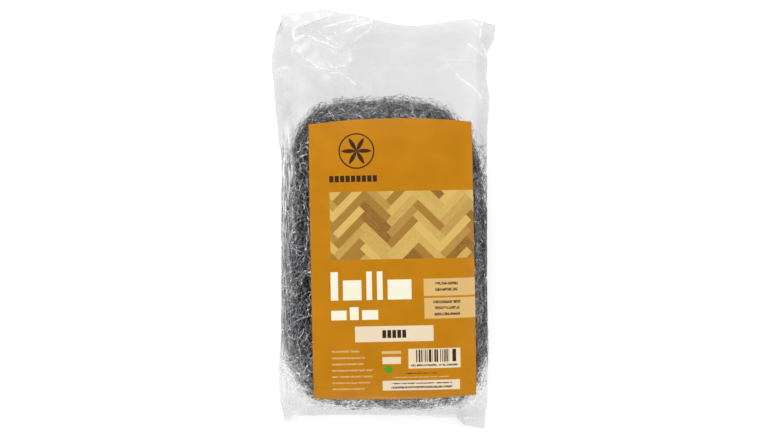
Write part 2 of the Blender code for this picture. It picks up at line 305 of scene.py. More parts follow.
class WoolSettings(bpy.types.PropertyGroup):
    """Sizes and colours of the hank of steel wool."""

    voxel: FloatProperty(
        name="Core detail", description="Cell size of the hank's body",
        default=0.00135, unit="LENGTH",
    )
    tuck: FloatProperty(
        name="Tuck", description="How far the body lies under the strands",
        default=0.0008, unit="LENGTH",
    )
    loose_tuck: FloatProperty(
        name="Loose tuck", description="How far it lies under them at the mouth end",
        default=0.0036, unit="LENGTH",
    )
    lump: FloatProperty(
        name="Lumps", description="Height of the small lumps in the hank",
        default=0.0004, unit="LENGTH",
    )
    lock: FloatProperty(
        name="Locks", description="Height of the twisted locks of strands",
        default=0.0004, unit="LENGTH",
    )
    locks: IntProperty(
        name="Locks of strands", description="Number of locks in each layer",
        default=1600, min=20,
    )
    fellows: IntProperty(
        name="Strands in a lock", description="Strands that lie together in one lock",
        default=5, min=1,
    )
    layers: IntProperty(name="Layers", description="Number of layers of strands", default=3, min=1)
    points: IntProperty(name="Strand points", description="Points along one strand", default=13, min=3)
    spread: FloatProperty(
        name="Spread", description="How far apart the strands of a lock lie",
        default=0.00019, unit="LENGTH",
    )
    curl: FloatProperty(
        name="Curl", description="Height of the waves in a lock",
        default=0.00110, unit="LENGTH",
    )
    shortest: FloatProperty(
        name="Shortest strand", description="Length of the shortest strands",
        default=0.006, unit="LENGTH",
    )
    longest: FloatProperty(
        name="Longest strand", description="Length of the longest strands",
        default=0.028, unit="LENGTH",
    )
    thin: FloatProperty(
        name="Thinnest strand", description="Width of the finest strands",
        default=0.00012, unit="LENGTH",
    )
    thick: FloatProperty(
        name="Thickest strand", description="Width of the coarsest strands",
        default=0.00036, unit="LENGTH",
    )
    lift: FloatProperty(
        name="Lift", description="How high a strand bows over the body",
        default=0.0022, unit="LENGTH",
    )
    strays: IntProperty(
        name="Strays", description="Number of loose strands round the edge",
        default=4400, min=0,
    )
    stray_lift: FloatProperty(
        name="Stray lift", description="How far loose strands stand out",
        default=0.0058, unit="LENGTH",
    )
    stray_thin: FloatProperty(
        name="Thinnest stray", description="Width of the finest loose strands",
        default=0.00008, unit="LENGTH",
    )
    stray_thick: FloatProperty(
        name="Thickest stray", description="Width of the coarsest loose strands",
        default=0.00034, unit="LENGTH",
    )
    patch: FloatProperty(
        name="Patches", description="Size of the duller and brighter patches",
        default=0.030, unit="LENGTH",
    )
    dark: FloatVectorProperty(
        name="Dark steel", description="Colour of the dullest strands",
        subtype="COLOR", default=(0.034, 0.035, 0.040),
    )
    steel: FloatVectorProperty(
        name="Steel", description="Colour of most strands",
        subtype="COLOR", default=(0.36, 0.365, 0.38),
    )
    bright: FloatVectorProperty(
        name="Bright steel", description="Colour of the brightest strands",
        subtype="COLOR", default=(0.78, 0.78, 0.77),
    )


class CardSettings(bpy.types.PropertyGroup):
    """Sizes and inks of the printed card."""

    turn: FloatProperty(
        name="Turn", description="How far the card leans in the bag",
        default=math.radians(1.1), subtype="ANGLE",
    )
    cell: FloatProperty(
        name="Cell", description="Size of the card's mesh cells",
        default=0.0016, unit="LENGTH",
    )
    thickness: FloatProperty(
        name="Thickness", description="Thickness of the card",
        default=0.00025, unit="LENGTH",
    )
    edge: FloatProperty(
        name="Ink edge", description="Softness of the printed edges, in millimetres",
        default=0.18,
    )
    amber: FloatVectorProperty(
        name="Amber", description="The card's ground",
        subtype="COLOR", default=(0.553, 0.218, 0.0040),
    )
    tan: FloatVectorProperty(
        name="Tan", description="Ink of the side blocks",
        subtype="COLOR", default=(0.770, 0.500, 0.190),
    )
    cream: FloatVectorProperty(
        name="Cream", description="Ink of the pale blocks",
        subtype="COLOR", default=(0.880, 0.730, 0.520),
    )
    white: FloatVectorProperty(
        name="White", description="Ink of the large shapes",
        subtype="COLOR", default=(0.960, 0.920, 0.740),
    )
    faint: FloatVectorProperty(
        name="Faint", description="Ink of the fine lines",
        subtype="COLOR", default=(0.760, 0.500, 0.230),
    )
    dark: FloatVectorProperty(
        name="Dark", description="Ink of the dark lines",
        subtype="COLOR", default=(0.045, 0.022, 0.010),
    )
    green: FloatVectorProperty(
        name="Green", description="Ink of the small mark",
        subtype="COLOR", default=(0.120, 0.330, 0.020),
    )
    straw: FloatVectorProperty(
        name="Straw", description="Palest wood of the panel",
        subtype="COLOR", default=(0.730, 0.500, 0.140),
    )
    honey: FloatVectorProperty(
        name="Honey", description="Commonest wood of the panel",
        subtype="COLOR", default=(0.400, 0.205, 0.038),
    )
    chestnut: FloatVectorProperty(
        name="Chestnut", description="Darkest wood of the panel",
        subtype="COLOR", default=(0.230, 0.088, 0.020),
    )


class FilmSettings(bpy.types.PropertyGroup):
    """Sizes and clearness of the film bag."""

    rows: IntProperty(name="Rows", description="Rows of cells along the bag", default=270, min=20)
    front_columns: IntProperty(
        name="Front columns", description="Cells across the front sheet",
        default=260, min=20,
    )
    back_columns: IntProperty(
        name="Back columns", description="Cells across the back sheet",
        default=90, min=20,
    )
    smoothing: IntProperty(
        name="Smoothing", description="Passes that smooth the sheet's run",
        default=14, min=0,
    )
    crumple: FloatProperty(
        name="Crumple", description="Height of the header's random crumples",
        default=0.0008, unit="LENGTH",
    )
    ripple: FloatProperty(
        name="Ripple", description="Height of the ripples over the wool",
        default=0.00013, unit="LENGTH",
    )
    clearness: FloatProperty(
        name="Clearness", description="Share of light that one sheet lets through",
        default=0.93, min=0, max=1,
    )
    gloss: FloatProperty(
        name="Gloss", description="Share of light that one sheet reflects face on",
        default=0.006, min=0, max=1,
    )
    edge_gloss: FloatProperty(
        name="Edge gloss", description="How much more it reflects edge on",
        default=0.07, min=0, max=1,
    )
    roughness: FloatProperty(
        name="Roughness", description="Roughness of the film's gloss",
        default=0.24, min=0, max=1,
    )
    haze: FloatProperty(
        name="Haze", description="Milkiness of the film where it is empty",
        default=0.090, min=0, max=1,
    )
    # Whiteness along the creases: partly the film's stress whitening, partly painted highlight
    stress_white_and_sheen: FloatProperty(
        name="Stress marks", description="Whiteness of the film along its creases",
        default=0.65, min=0, max=1,
    )
    # Whiteness round the wool's foot: partly the film's milkiness, partly painted glints
    cling_milk_and_sheen: FloatProperty(
        name="Cling", description="Milkiness where the film clings to the wool's foot",
        default=0.70, min=0, max=1,
    )


class StageSettings(bpy.types.PropertyGroup):
    """The camera, the lamps and the floor."""

    height: FloatProperty(
        name="Camera height", description="Height of the camera over the floor",
        default=0.50, unit="LENGTH",
    )
    across: FloatProperty(
        name="Camera across", description="The camera's place across the pack",
        default=-0.0024, unit="LENGTH",
    )
    along: FloatProperty(
        name="Camera along", description="The camera's place along the pack",
        default=0.0001, unit="LENGTH",
    )
    pixel: FloatProperty(
        name="Pixel", description="Width of one pixel of the picture at the card",
        default=0.000627, unit="LENGTH",
    )
    pixels: IntProperty(name="Pixels", description="Width of the picture in pixels", default=760)
    floor: FloatProperty(name="Floor", description="Shade of the floor", default=0.50, min=0, max=1)
    floor_lift: FloatProperty(
        name="Floor lift", description="White added to the floor as the camera sees it",
        default=0.58, min=0, max=1,
    )
    zenith: FloatProperty(name="Zenith", description="Brightness of the room overhead", default=0.24, min=0)
    horizon: FloatProperty(
        name="Horizon", description="Brightness of the room at eye level",
        default=0.85, min=0,
    )
    lamp_power: FloatProperty(
        name="Lamp power", description="Full power of a soft lamp in watts",
        default=4.0, min=0,
    )
    lamp_size: FloatProperty(
        name="Lamp size", description="Width of each soft lamp",
        default=0.34, unit="LENGTH",
    )


class Field:
    """A shader value that plain arithmetic works on."""

    def __init__(self, tree, socket):
        self.tree = tree
        self.socket = socket

    def node(self, kind, inputs=(), output=0, **options):
        """Adds a node, sets its options and inputs, and returns one of its outputs."""
        made = self.tree.nodes.new(kind)
        for name, value in options.items():
            setattr(made, name, value)
        for place, value in dict(inputs).items():
            if isinstance(value, Field):
                self.tree.links.new(value.socket, made.inputs[place])
            else:
                made.inputs[place].default_value = value
        return Field(self.tree, made.outputs[output])

    def math(self, operation, *others):
        return self.node("ShaderNodeMath", dict(enumerate((self, *others))), operation=operation)

    def __add__(self, other):
        return self.math("ADD", other)

    def __sub__(self, other):
        return self.math("SUBTRACT", other)

    def __mul__(self, other):
        return self.math("MULTIPLY", other)

    def __truediv__(self, other):
        return self.math("DIVIDE", other)

    def __rsub__(self, other):
        return self * -1.0 + other

    def __gt__(self, other):
        return self.math("GREATER_THAN", other)

    def __lt__(self, other):
        return self.math("LESS_THAN", other)

    __radd__ = __add__
    __rmul__ = __mul__

    def floor(self):
        return self.math("FLOOR")

    def fraction(self):
        return self.math("FRACT")

    def size(self):
        return self.math("ABSOLUTE")

    def least(self, other):
        return self.math("MINIMUM", other)

    def most(self, other):
        return self.math("MAXIMUM", other)

    def ramp(self, low, high, start=0.0, end=1.0):
        """Goes smoothly from start to end as the value goes from low to high."""
        inputs = {"Value": self, "From Min": low, "From Max": high, "To Min": start, "To Max": end}
        return self.node("ShaderNodeMapRange", inputs, interpolation_type="SMOOTHSTEP")

    def inside(self, edge):
        """1 where a distance is below 0, and 0 above, with a soft edge."""
        return self.ramp(-edge / 2, edge / 2, 1.0, 0.0)

    def choose(self, low, high):
        """A colour between two, by this value."""
        low, high = ((*c, 1.0) if isinstance(c, (tuple, list)) else c for c in (low, high))
        inputs = {0: self, 6: low, 7: high}
        return self.node("ShaderNodeMix", inputs, output=2, data_type="RGBA")

    def vector(self, y, z=0.0):
        return self.node("ShaderNodeCombineXYZ", {0: self, 1: y, 2: z})

    def parts(self):
        """The x, y and z of a vector."""
        split = self.tree.nodes.new("ShaderNodeSeparateXYZ")
        self.tree.links.new(self.socket, split.inputs[0])
        return [Field(self.tree, split.outputs[i]) for i in range(3)]

    def scaled(self, x, y, z):
        """A vector field times a plain vector."""
        return self.node("ShaderNodeVectorMath", {0: self, 1: (x, y, z)}, operation="MULTIPLY")

    def noise(self, scale, detail=2.0, roughness=0.5, distortion=0.0):
        inputs = {
            "Vector": self,
            "Scale": scale,
            "Detail": detail,
            "Roughness": roughness,
            "Distortion": distortion,
        }
        return self.node("ShaderNodeTexNoise", inputs)

    def random(self):
        """One random value for each whole-number place."""
        return self.node("ShaderNodeTexWhiteNoise", {"Vector": self}, noise_dimensions="3D")

    def bump(self, distance, strength=1.0):
        return self.node("ShaderNodeBump", {"Height": self, "Distance": distance, "Strength": strength})


class Shader:
    """A new material with its Principled BSDF, and the fields that its looks are drawn with."""

    def __init__(self, name):
        self.material = bpy.data.materials.new(name)
        self.material.use_nodes = True
        self.tree = self.material.node_tree
        self.principled = self.tree.nodes["Principled BSDF"]
        self.output = self.tree.nodes["Material Output"]

    def place(self):
        """The point's place in the pack's own frame, in metres."""
        return Field(self.tree, self.tree.nodes.new("ShaderNodeTexCoord").outputs["Object"])

    def own_uv(self, name):
        made = self.tree.nodes.new("ShaderNodeUVMap")
        made.uv_map = name
        return Field(self.tree, made.outputs["UV"])

    def own_value(self, name):
        """A value that the piece's mesh carries at each of its points."""
        made = self.tree.nodes.new("ShaderNodeAttribute")
        made.attribute_name = name
        return Field(self.tree, made.outputs["Fac"])

    def set(self, **inputs):
        """Sets inputs of the Principled BSDF, whose names are written with underscores."""
        for name, value in inputs.items():
            socket = self.principled.inputs[name.replace("_", " ")]
            if isinstance(value, Field):
                self.tree.links.new(value.socket, socket)
            else:
                socket.default_value = value
        return self.material


class Surface:
    """A frame node's surface, which other pieces are laid against."""

    def __init__(self, name):
        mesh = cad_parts[name].data
        self.tree = BVHTree.FromPolygons([v.co for v in mesh.vertices], [p.vertices for p in mesh.polygons])
        self.low, self.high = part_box(name)

    def top(self, x, y):
        """Height of the surface seen from above, or None beside it."""
        return self.tree.ray_cast(Vector((x, y, 1.0)), Vector((0, 0, -1)))[0]

    def foot(self, x, y):
        return self.tree.ray_cast(Vector((x, y, -1.0)), Vector((0, 0, 1)))[0]

    def reach(self, start, towards):
        """How far the surface reaches, seen from above, along a straight line from a point over it."""
        near, far = 0.0, 1.0
        for _ in range(16):
            middle = (near + far) / 2
            place = start.lerp(towards, middle)
            if self.top(place.x, place.y) is None:
                far = middle
            else:
                near = middle
        return start.lerp(towards, near)


class HeightMap:
    """Heights of a surface over a regular grid, with smooth values between."""

    step = 0.001

    def __init__(self, surface, look, beside):
        self.x = np.arange(CAD_BOX[0][0] - 0.004, CAD_BOX[1][0] + 0.004, self.step)
        self.y = np.arange(CAD_BOX[0][1] - 0.004, CAD_BOX[1][1] + 0.004, self.step)
        self.z = np.full((len(self.x), len(self.y)), beside)
        for i, x in enumerate(self.x):
            for j, y in enumerate(self.y):
                hit = look(surface, x, y)
                if hit is not None:
                    self.z[i, j] = hit.z

    def at(self, x, y):
        a = np.clip((x - self.x[0]) / self.step, 0, len(self.x) - 1.001)
        b = np.clip((y - self.y[0]) / self.step, 0, len(self.y) - 1.001)
        i, j = a.astype(int), b.astype(int)
        u, v = a - i, b - j
        low = self.z[i, j] * (1 - u) + self.z[i + 1, j] * u
        high = self.z[i, j + 1] * (1 - u) + self.z[i + 1, j + 1] * u
        return low * (1 - v) + high * v


def smooth_share(value, start, end):
    """0 before start, 1 after end, and a smooth rise between them, for numbers or arrays."""
    share = np.clip((value - start) / (end - start), 0.0, 1.0)
    return share * share * (3 - 2 * share)


def new_piece(name, vertices, faces, material):
    """Makes a mesh object from arrays of places and of faces."""
    mesh = bpy.data.meshes.new(name)
    mesh.from_pydata(vertices, [], faces)
    mesh.update()
    mesh.shade_smooth()
    mesh.materials.append(material)
    piece = bpy.data.objects.new(name, mesh)
    bpy.context.scene.collection.objects.link(piece)
    return piece


def new_sheet(name, places, material):
    """Adds a grid and lays it on an array of places: (column, row, xyz)."""
    columns, rows = places.shape[:2]
    bpy.ops.object.select_all(action="DESELECT")
    bpy.ops.mesh.primitive_grid_add(x_subdivisions=columns - 1, y_subdivisions=rows - 1, size=2)
    sheet = bpy.context.active_object
    sheet.name = sheet.data.name = name
    mesh = sheet.data
    flat = np.zeros(len(mesh.vertices) * 3)
    mesh.vertices.foreach_get("co", flat)
    share = (flat.reshape(-1, 3) + 1) / 2
    i, j = (np.rint(share[:, k] * (count - 1)).astype(int) for k, count in enumerate((columns, rows)))
    mesh.vertices.foreach_set("co", places[i, j].ravel())
    mesh.shade_smooth()
    mesh.materials.append(material)
    return sheet, i, j


def steel_shader(settings, name):
    """Strands of steel: each has its own shade, with painted glints as brighter and duller stretches along
    it.
    """
    shader = Shader(name)
    shade, along, _ = shader.own_uv("OFBake").parts()
    # Painted glints: brighter and duller stretches along each strand
    painted_glint = (shade * 900.0).vector(along * 14.0).noise(1.0, 2.0)
    tone = shade + (painted_glint - 0.5) * 0.9
    colour = tone.ramp(0.12, 0.55).choose(tuple(settings.dark), tuple(settings.steel))
    colour = tone.ramp(0.60, 0.92).choose(colour, tuple(settings.bright))
    return shader.set(Base_Color=colour, Roughness=tone.ramp(0.0, 1.0, 0.56, 0.47), Metallic=0.85)


def core_shader(settings):
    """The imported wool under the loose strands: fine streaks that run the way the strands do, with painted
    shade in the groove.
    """
    shader = Shader("packed_wool")
    place = shader.place()
    flow, lap_shade, _ = shader.own_uv("flow").parts()
    lengthwise = place.scaled(1.0, 0.12, 0.7).noise(1300.0, 5.0, 0.65, 0.9)
    crosswise = place.scaled(0.12, 1.0, 0.7).noise(1300.0, 5.0, 0.65, 0.9)
    streaks = lengthwise * (1.0 - flow) + crosswise * flow
    patches = place.noise(110.0, 3.0, 0.6)
    # Painted shade: the core is darker in the groove
    tone = streaks * 0.7 + patches * 0.3 - lap_shade * 0.25
    colour = tone.ramp(0.49, 0.66).choose(tuple(settings.dark), tuple(settings.steel))
    normal = streaks.bump(0.0008, 1.0)
    return shader.set(Base_Color=colour, Roughness=0.5, Metallic=0.7, Normal=normal)


class Hank:
    """The wool's outline, and which way its strands lie."""

    def __init__(self):
        low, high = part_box("wool_bundle")
        self.middle = (low + high) / 2
        self.half = (high - low) / 2

    def outline(self, points):
        x = (points[:, 0] - self.middle.x) / self.half.x
        y = (points[:, 1] - self.middle.y) / self.half.y
        power = np.where(y > 0, np.where(x < 0, *MOUTH_POWERS), np.where(x < 0, *HEM_POWERS))
        return x, y, (np.abs(x) ** power + np.abs(y) ** power) ** (1 / power)

    def flow(self, points):
        """Level directions of the strands: lengthwise inside, and round the outline near it."""
        x, y, radius = self.outline(points)
        across = np.sign(x) * np.abs(x) ** 3 / self.half.x
        along = np.sign(y) * np.abs(y) ** 3 / self.half.y
        length = np.hypot(across, along) + 1e-9
        sign = np.where(across < 0, -1.0, 1.0)
        share = smooth_share(radius, *TURNING)
        flow = np.zeros_like(points)
        flow[:, 0] = -along / length * sign * share
        flow[:, 1] = across / length * sign * share + (1 - share)
        return flow / np.linalg.norm(flow, axis=1)[:, None]

    def loose(self, points):
        """1 at the mouth end, where no film presses on the strands, and 0 elsewhere."""
        y, radius = self.outline(points)[1:]
        return smooth_share(y, *MOUTH_END) * smooth_share(radius, *OUTER_BAND)

    def crosswise(self, points):
        """1 where the strands run across the hank, and 0 where they run along it."""
        return self.flow(points)[:, 0] ** 2

    def lap_shade(self, points):
        """About 1 in the groove beside the card, and 0 away from it: how much shade is painted there."""
        x, y, z = points.T
        across = smooth_share(LAP_HALF_WIDTH - np.abs(x - LAP_MIDDLE), 0.0, LAP_HALF_WIDTH)
        along = np.interp(y, *LAP_SHADE_STRENGTHS)
        return across * along * (z > self.middle.z)

    def fringe(self, points):
        """1 near the hank's upper outline, where loose strands show against the film."""
        upper = points[:, 2] > self.middle.z - FRINGE_DROP
        return smooth_share(self.outline(points)[2], *OUTER_BAND) * upper


def wool_noise(place, settings, across):
    """Height of the wool's lumps and locks at a place."""
    lumps = noise.fractal(place / LUMP_SIZE, 0.7, 2.2, 3)
    lengthwise, over = (
        noise.fractal(Vector((place.x / wide, place.y / long, place.z / LOCK_DEPTH)), 0.8, 2.1, 3)
        for wide, long in ((LOCK_WIDTH, LOCK_LENGTH), (LOCK_LENGTH, LOCK_WIDTH))
    )
    return settings.lump * lumps + settings.lock * (lengthwise * (1 - across) + over * across)


def make_core(settings):
    """The hank's body: the frame's solid, remeshed fine and roughened with lumps and locks."""
    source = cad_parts["wool_bundle"]
    core = bpy.data.objects.new("wool_core", source.data.copy())
    bpy.context.scene.collection.objects.link(core)
    core.data.materials.clear()
    remesh = core.modifiers.new("remesh", "REMESH")
    remesh.mode = "VOXEL"
    remesh.voxel_size = settings.voxel
    smooth = core.modifiers.new("smooth", "SMOOTH")
    smooth.iterations = CORE_SMOOTHING
    bpy.context.view_layer.objects.active = core
    core.select_set(True)
    for modifier in ("remesh", "smooth"):
        bpy.ops.object.modifier_apply(modifier=modifier)
    mesh = core.data
    places = np.array([v.co for v in mesh.vertices])
    normals = np.array([v.normal for v in mesh.vertices])
    across = Hank().crosswise(places)
    rise = np.array([wool_noise(Vector(p), settings, a) for p, a in zip(places, across)])
    tuck = settings.tuck + (settings.loose_tuck - settings.tuck) * Hank().loose(places)
    places += normals * (np.minimum(rise, tuck * 0.8) - tuck)[:, None]
    mesh.vertices.foreach_set("co", places.ravel())
    flow = mesh.uv_layers.new(name="flow")
    corners = np.zeros(len(mesh.loops), int)
    mesh.loops.foreach_get("vertex_index", corners)
    # The flow map's second value carries the groove's painted shade
    lap_shade = Hank().lap_shade(places)
    flow.uv.foreach_set("vector", np.stack([across[corners], lap_shade[corners]], axis=1).ravel())
    mesh.shade_smooth()
    mesh.update()
    mesh.materials.append(core_shader(settings))
    return core


def start_places(core, count, rng, card, loose):
    """Random places on the core, thinned out where nothing shows them, and near the outline if loose."""
    mesh = core.data
    mesh.calc_loop_triangles()
    corners = np.array([t.vertices for t in mesh.loop_triangles])
    places = np.array([v.co for v in mesh.vertices])[corners]
    area = np.array([t.area for t in mesh.loop_triangles])
    normal = np.array([t.normal for t in mesh.loop_triangles])
    middle = places.mean(axis=1)
    under = normal[:, 2] > 0.3
    for axis in (0, 1):
        under &= middle[:, axis] > card.low[axis] + CARD_MARGIN
        under &= middle[:, axis] < card.high[axis] - CARD_MARGIN
    weight = area * np.where(under, UNDER_CARD, 1.0) * np.where(normal[:, 2] < -0.5, ON_BACK, 1.0)
    weight *= 1 + MORE_ON_TOP * smooth_share(normal[:, 2], 0.1, 0.7)
    hank = Hank()
    if loose:
        outline = STRAYS_AT_OUTLINE + STRAYS_AT_MOUTH * hank.loose(middle)
        weight *= STRAYS_ANYWHERE + hank.fringe(middle) * outline
    else:
        weight *= 1 - LESS_IN_LAP * hank.lap_shade(middle)
    chosen = rng.choice(len(area), count, p=weight / weight.sum())
    share = rng.random((count, 2))
    share = np.where(share.sum(axis=1, keepdims=True) > 1, 1 - share, share)
    a, b, c = (places[chosen, k] for k in range(3))
    return a + (b - a) * share[:, :1] + (c - a) * share[:, 1:]


def nearest(tree, points):
    """The nearest places on a surface, and its normals there."""
    found = [tree.find_nearest(Vector(p)) for p in points]
    return np.array([f[0] for f in found]), np.array([f[1] for f in found])


def across_normal(vectors, normals):
    """Vectors with the part along the normal taken out, at length 1."""
    level = vectors - normals * (vectors * normals).sum(axis=1, keepdims=True)
    return level / (np.linalg.norm(level, axis=1, keepdims=True) + 1e-12)


def lock_paths(core, tree, settings, rng, count, lift, card, loose):
    """Wandering paths over the core, bowed up between their tucked ends: (lock, point, xyz)."""
    hank = Hank()
    steps = settings.points
    length = settings.shortest + (settings.longest - settings.shortest) * rng.random(count) ** 1.6
    feet, normal = nearest(tree, start_places(core, count, rng, card, loose))
    ends = smooth_share(np.abs(feet[:, 1] - hank.middle.y) / hank.half.y, *BOTH_ENDS)
    tangled = rng.random(count) < np.maximum(TANGLED + TANGLED_AT_ENDS * ends, TANGLED_STRAYS * loose)
    widest = rng.uniform(-TANGLED_ANGLE, TANGLED_ANGLE, count)
    angle = np.where(tangled, widest, rng.normal(0, USUAL_ANGLE, count))
    bend = rng.normal(0, BEND, count) + np.where(tangled, rng.normal(0, TANGLED_BEND, count), 0)
    free = rng.random(count) < FREE_STRAYS * loose
    height = np.minimum(rng.exponential(0.5, count), 1.0) * lift
    sides = smooth_share(np.abs(feet[:, 0]), *SIDES)
    height *= 1 + SIDE_LIFT * sides * smooth_share(-feet[:, 1], *SHORT_OF_MOUTH)
    feet_of, paths, normals = (np.zeros((count, steps, 3)) for _ in range(3))
    for step in range(steps):
        share = step / (steps - 1)
        bow = np.where(free, share ** 1.3, math.sin(math.pi * share) ** 0.7)
        feet_of[:, step] = feet
        paths[:, step] = feet + normal * (height * bow - END_TUCK)[:, None]
        normals[:, step] = normal
        flow = across_normal(hank.flow(feet), normal)
        side = np.cross(normal, flow)
        heading = flow * np.cos(angle)[:, None] + side * np.sin(angle)[:, None]
        feet, normal = nearest(tree, feet + heading * (length / (steps - 1))[:, None])
        angle = angle + bend + rng.normal(0, WANDER, count)
    return feet_of, paths, normals


def strands_of(paths, normals, settings, rng, fellows):
    """Several curling strands along each lock's path, with the lock that each belongs to."""
    count, steps, _ = paths.shape
    lock = np.repeat(np.arange(count), fellows)
    path, up = paths[lock], normals[lock]
    tangent = np.gradient(path, axis=1)
    tangent /= np.linalg.norm(tangent, axis=2, keepdims=True) + 1e-12
    side = np.cross(tangent, up)
    total = len(lock)
    step = np.arange(steps)[None, :]
    apart = rng.normal(0, settings.spread, (total, 1))
    pace = rng.uniform(0.7, 1.5, (count, 1))
    phase = rng.uniform(0, 2 * math.pi, (count, 1))
    swing = settings.curl * rng.random((count, 1)) ** 1.5
    wave = (pace * step + phase)[lock] + rng.normal(0, 0.25, (total, 1))
    swing = swing[lock] * rng.uniform(0.7, 1.3, (total, 1))
    sway = apart * (1 + 0.5 * np.sin(wave * 0.6)) + swing * np.sin(wave)
    rise = np.abs(rng.normal(0, settings.spread, (total, 1))) + 0.5 * swing * np.cos(wave)
    slide = rng.uniform(-0.5, 0.5, (total, 1))
    along = np.clip(step + slide, 0, steps - 1)
    low = np.minimum(along.astype(int), steps - 2)
    part = (along - low)[..., None]
    rows = np.arange(total)[:, None]
    path = path[rows, low] * (1 - part) + path[rows, low + 1] * part
    return path + side * sway[..., None] + up * rise[..., None], up, lock


def keep_inside(paths, feet, bounds):
    """Draws points back towards the body until they lie inside the film, and under the card."""
    ceiling, floor = bounds
    inside = paths.copy()
    for share in (0.6, 0.3, 0.0):
        x, y = inside[..., 0], inside[..., 1]
        outside = ceiling.at(x, y) - floor.at(x, y) < LEAST_ROOM
        inside[outside] = (feet + (paths - feet) * share)[outside]
    x, y = inside[..., 0], inside[..., 1]
    top = ceiling.at(x, y) - STRAND_GAP
    foot = floor.at(x, y) + STRAND_GAP
    height = np.clip(inside[..., 2], foot, np.maximum(top, foot))
    inside[..., 2] = np.where(top > foot, height, inside[..., 2])
    return inside


def ribbons(name, paths, normals, shade, widths, rng, material):
    """Flat twisting strips along the paths, with each strand's shade kept in its UV map."""
    count, steps, _ = paths.shape
    tangent = np.gradient(paths, axis=1)
    tangent /= np.linalg.norm(tangent, axis=2, keepdims=True) + 1e-12
    side = np.cross(tangent, normals)
    side /= np.linalg.norm(side, axis=2, keepdims=True) + 1e-12
    up = np.cross(side, tangent)
    twist = rng.uniform(0, math.pi, (count, 1)) + rng.normal(0, 0.5, (count, 1)) * np.arange(steps)
    width = widths[0] + (widths[1] - widths[0]) * rng.random(count) ** 2.2
    taper = 0.35 + 0.65 * np.sin(np.pi * (np.arange(steps) + 0.5) / steps) ** 0.5
    half = (width[:, None] * taper / 2)[..., None]
    out = (side * np.cos(twist)[..., None] + up * np.sin(twist)[..., None]) * half
    vertices = np.stack([paths - out, paths + out], axis=2).reshape(-1, 3)
    first = (np.arange(count)[:, None] * steps + np.arange(steps - 1)).ravel() * 2
    faces = np.stack([first, first + 1, first + 3, first + 2], axis=1)
    piece = new_piece(name, vertices, faces, material)
    u = np.repeat(shade, (steps - 1) * 4)
    along = np.arange(steps) / (steps - 1)
    v = np.stack([along[:-1], along[:-1], along[1:], along[1:]], axis=1)
    uv = piece.data.uv_layers.new(name="OFBake")
    uv.uv.foreach_set("vector", np.stack([u, np.tile(v.ravel(), count)], axis=1).ravel())
    return piece


def wool_regions(places):
    """How far each place on the hank lies in the regions whose strands have another shade: painted shade in
    the groove and on the right, painted light on the left, and a darker mouth end.
    """
    x, y = places[:, 0], places[:, 1]
    right_ends = smooth_share(np.abs(y - RIGHT_MIDDLE), *RIGHT_ENDS)
    return {
        "lap_shade": Hank().lap_shade(places),
        "right": smooth_share(x, *RIGHT_REGION) * (1 + RIGHT_MORE * right_ends),
        "mouth": smooth_share(y, *MOUTH_REGION) * (1 - MOUTH_LESS * smooth_share(x, *MOUTH_RIGHT)),
        "left": smooth_share(-x, *LEFT_REGION) * smooth_share(-y, *LEFT_LENGTH),
    }


def strand_shades(settings, feet, lock, own, depth):
    """Each strand's shade, from 0 for dull to 1 for bright: its own, changed by its layer and place, with
    painted shade on deeper layers and painted shade and light by region.
    """
    middle = feet[:, settings.points // 2]
    patch = np.array([noise.noise(Vector(p) / settings.patch + PATCH_PLACE) for p in middle])
    contrast = CONTRAST
    change = LAYER_PAINTED_SHADE * (depth - 0.5) + PATCH_SHADE * patch
    for name, region in wool_regions(middle).items():
        more, brighter = REGION_SHADES[name]
        contrast = contrast + more * region
        change = change + brighter * region
    return np.clip(0.5 + (own - 0.5) * contrast[lock] + change[lock], 0, 1)


def wool_bounds(card):
    """Heights that the strands stay under and over."""
    film = Surface("film_bag")
    ceiling = HeightMap(film, Surface.top, 0.0)
    under = HeightMap(card, Surface.foot, 1.0)
    ceiling.z = np.minimum(ceiling.z, under.z)
    floor = HeightMap(film, Surface.foot, 0.0)
    return ceiling, floor


class STEELWOOL_OT_core(bpy.types.Operator):
    """Build the hank's body"""

    bl_idname = "steelwool.core"
    bl_label = "Wool Core"

    def execute(self, context):
        core = make_core(context.scene.wool_settings)
        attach(core, "root")
        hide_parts("wool_bundle")
        return {"FINISHED"}


class STEELWOOL_OT_strands(bpy.types.Operator):
    """Lay strands of steel over the hank's body"""

    bl_idname = "steelwool.strands"
    bl_label = "Wool Strands"

    def execute(self, context):
        settings = context.scene.wool_settings
        core = bpy.data.objects["wool_core"]
        tree = BVHTree.FromObject(core, context.evaluated_depsgraph_get())
        card = Surface("printed_card")
        bounds = wool_bounds(card)
        material = steel_shader(settings, "steel_strands")
        widths = (settings.thin, settings.thick)
        layers = []
        for i in range(settings.layers):
            depth = (i + 0.5) / settings.layers
            name = f"wool_strands_{i + 1}"
            layers.append((name, settings.locks, settings.fellows, settings.lift * depth, depth, widths))
        widths = (settings.stray_thin, settings.stray_thick)
        layers.append(("wool_strays", settings.strays, 1, settings.stray_lift, 0.6, widths))
        for seed, (name, count, fellows, lift, depth, widths) in enumerate(layers):
            rng = np.random.default_rng(seed + 1)
            feet, paths, normals = lock_paths(core, tree, settings, rng, count, lift, card, fellows == 1)
            strands, up, lock = strands_of(paths, normals, settings, rng, fellows)
            own = rng.random(count)[lock] * LOCK_SHADE + rng.random(len(lock)) * OWN_SHADE
            shade = strand_shades(settings, feet, lock, own, depth)
            strands = keep_inside(strands, feet[lock], bounds)
            piece = ribbons(name, strands, up, shade, widths, rng, material)
            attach(piece, "root")
        return {"FINISHED"}


def box_mask(u, v, left, right, bottom, top, edge):
    """1 inside a printed rectangle, with slightly soft edges."""
    middle_u, middle_v = (left + right) / 2, (bottom + top) / 2
    outside_u = (u - middle_u).size() - (right - left) / 2
    outside_v = (v - middle_v).size() - (top - bottom) / 2
    return outside_u.most(outside_v).inside(edge)


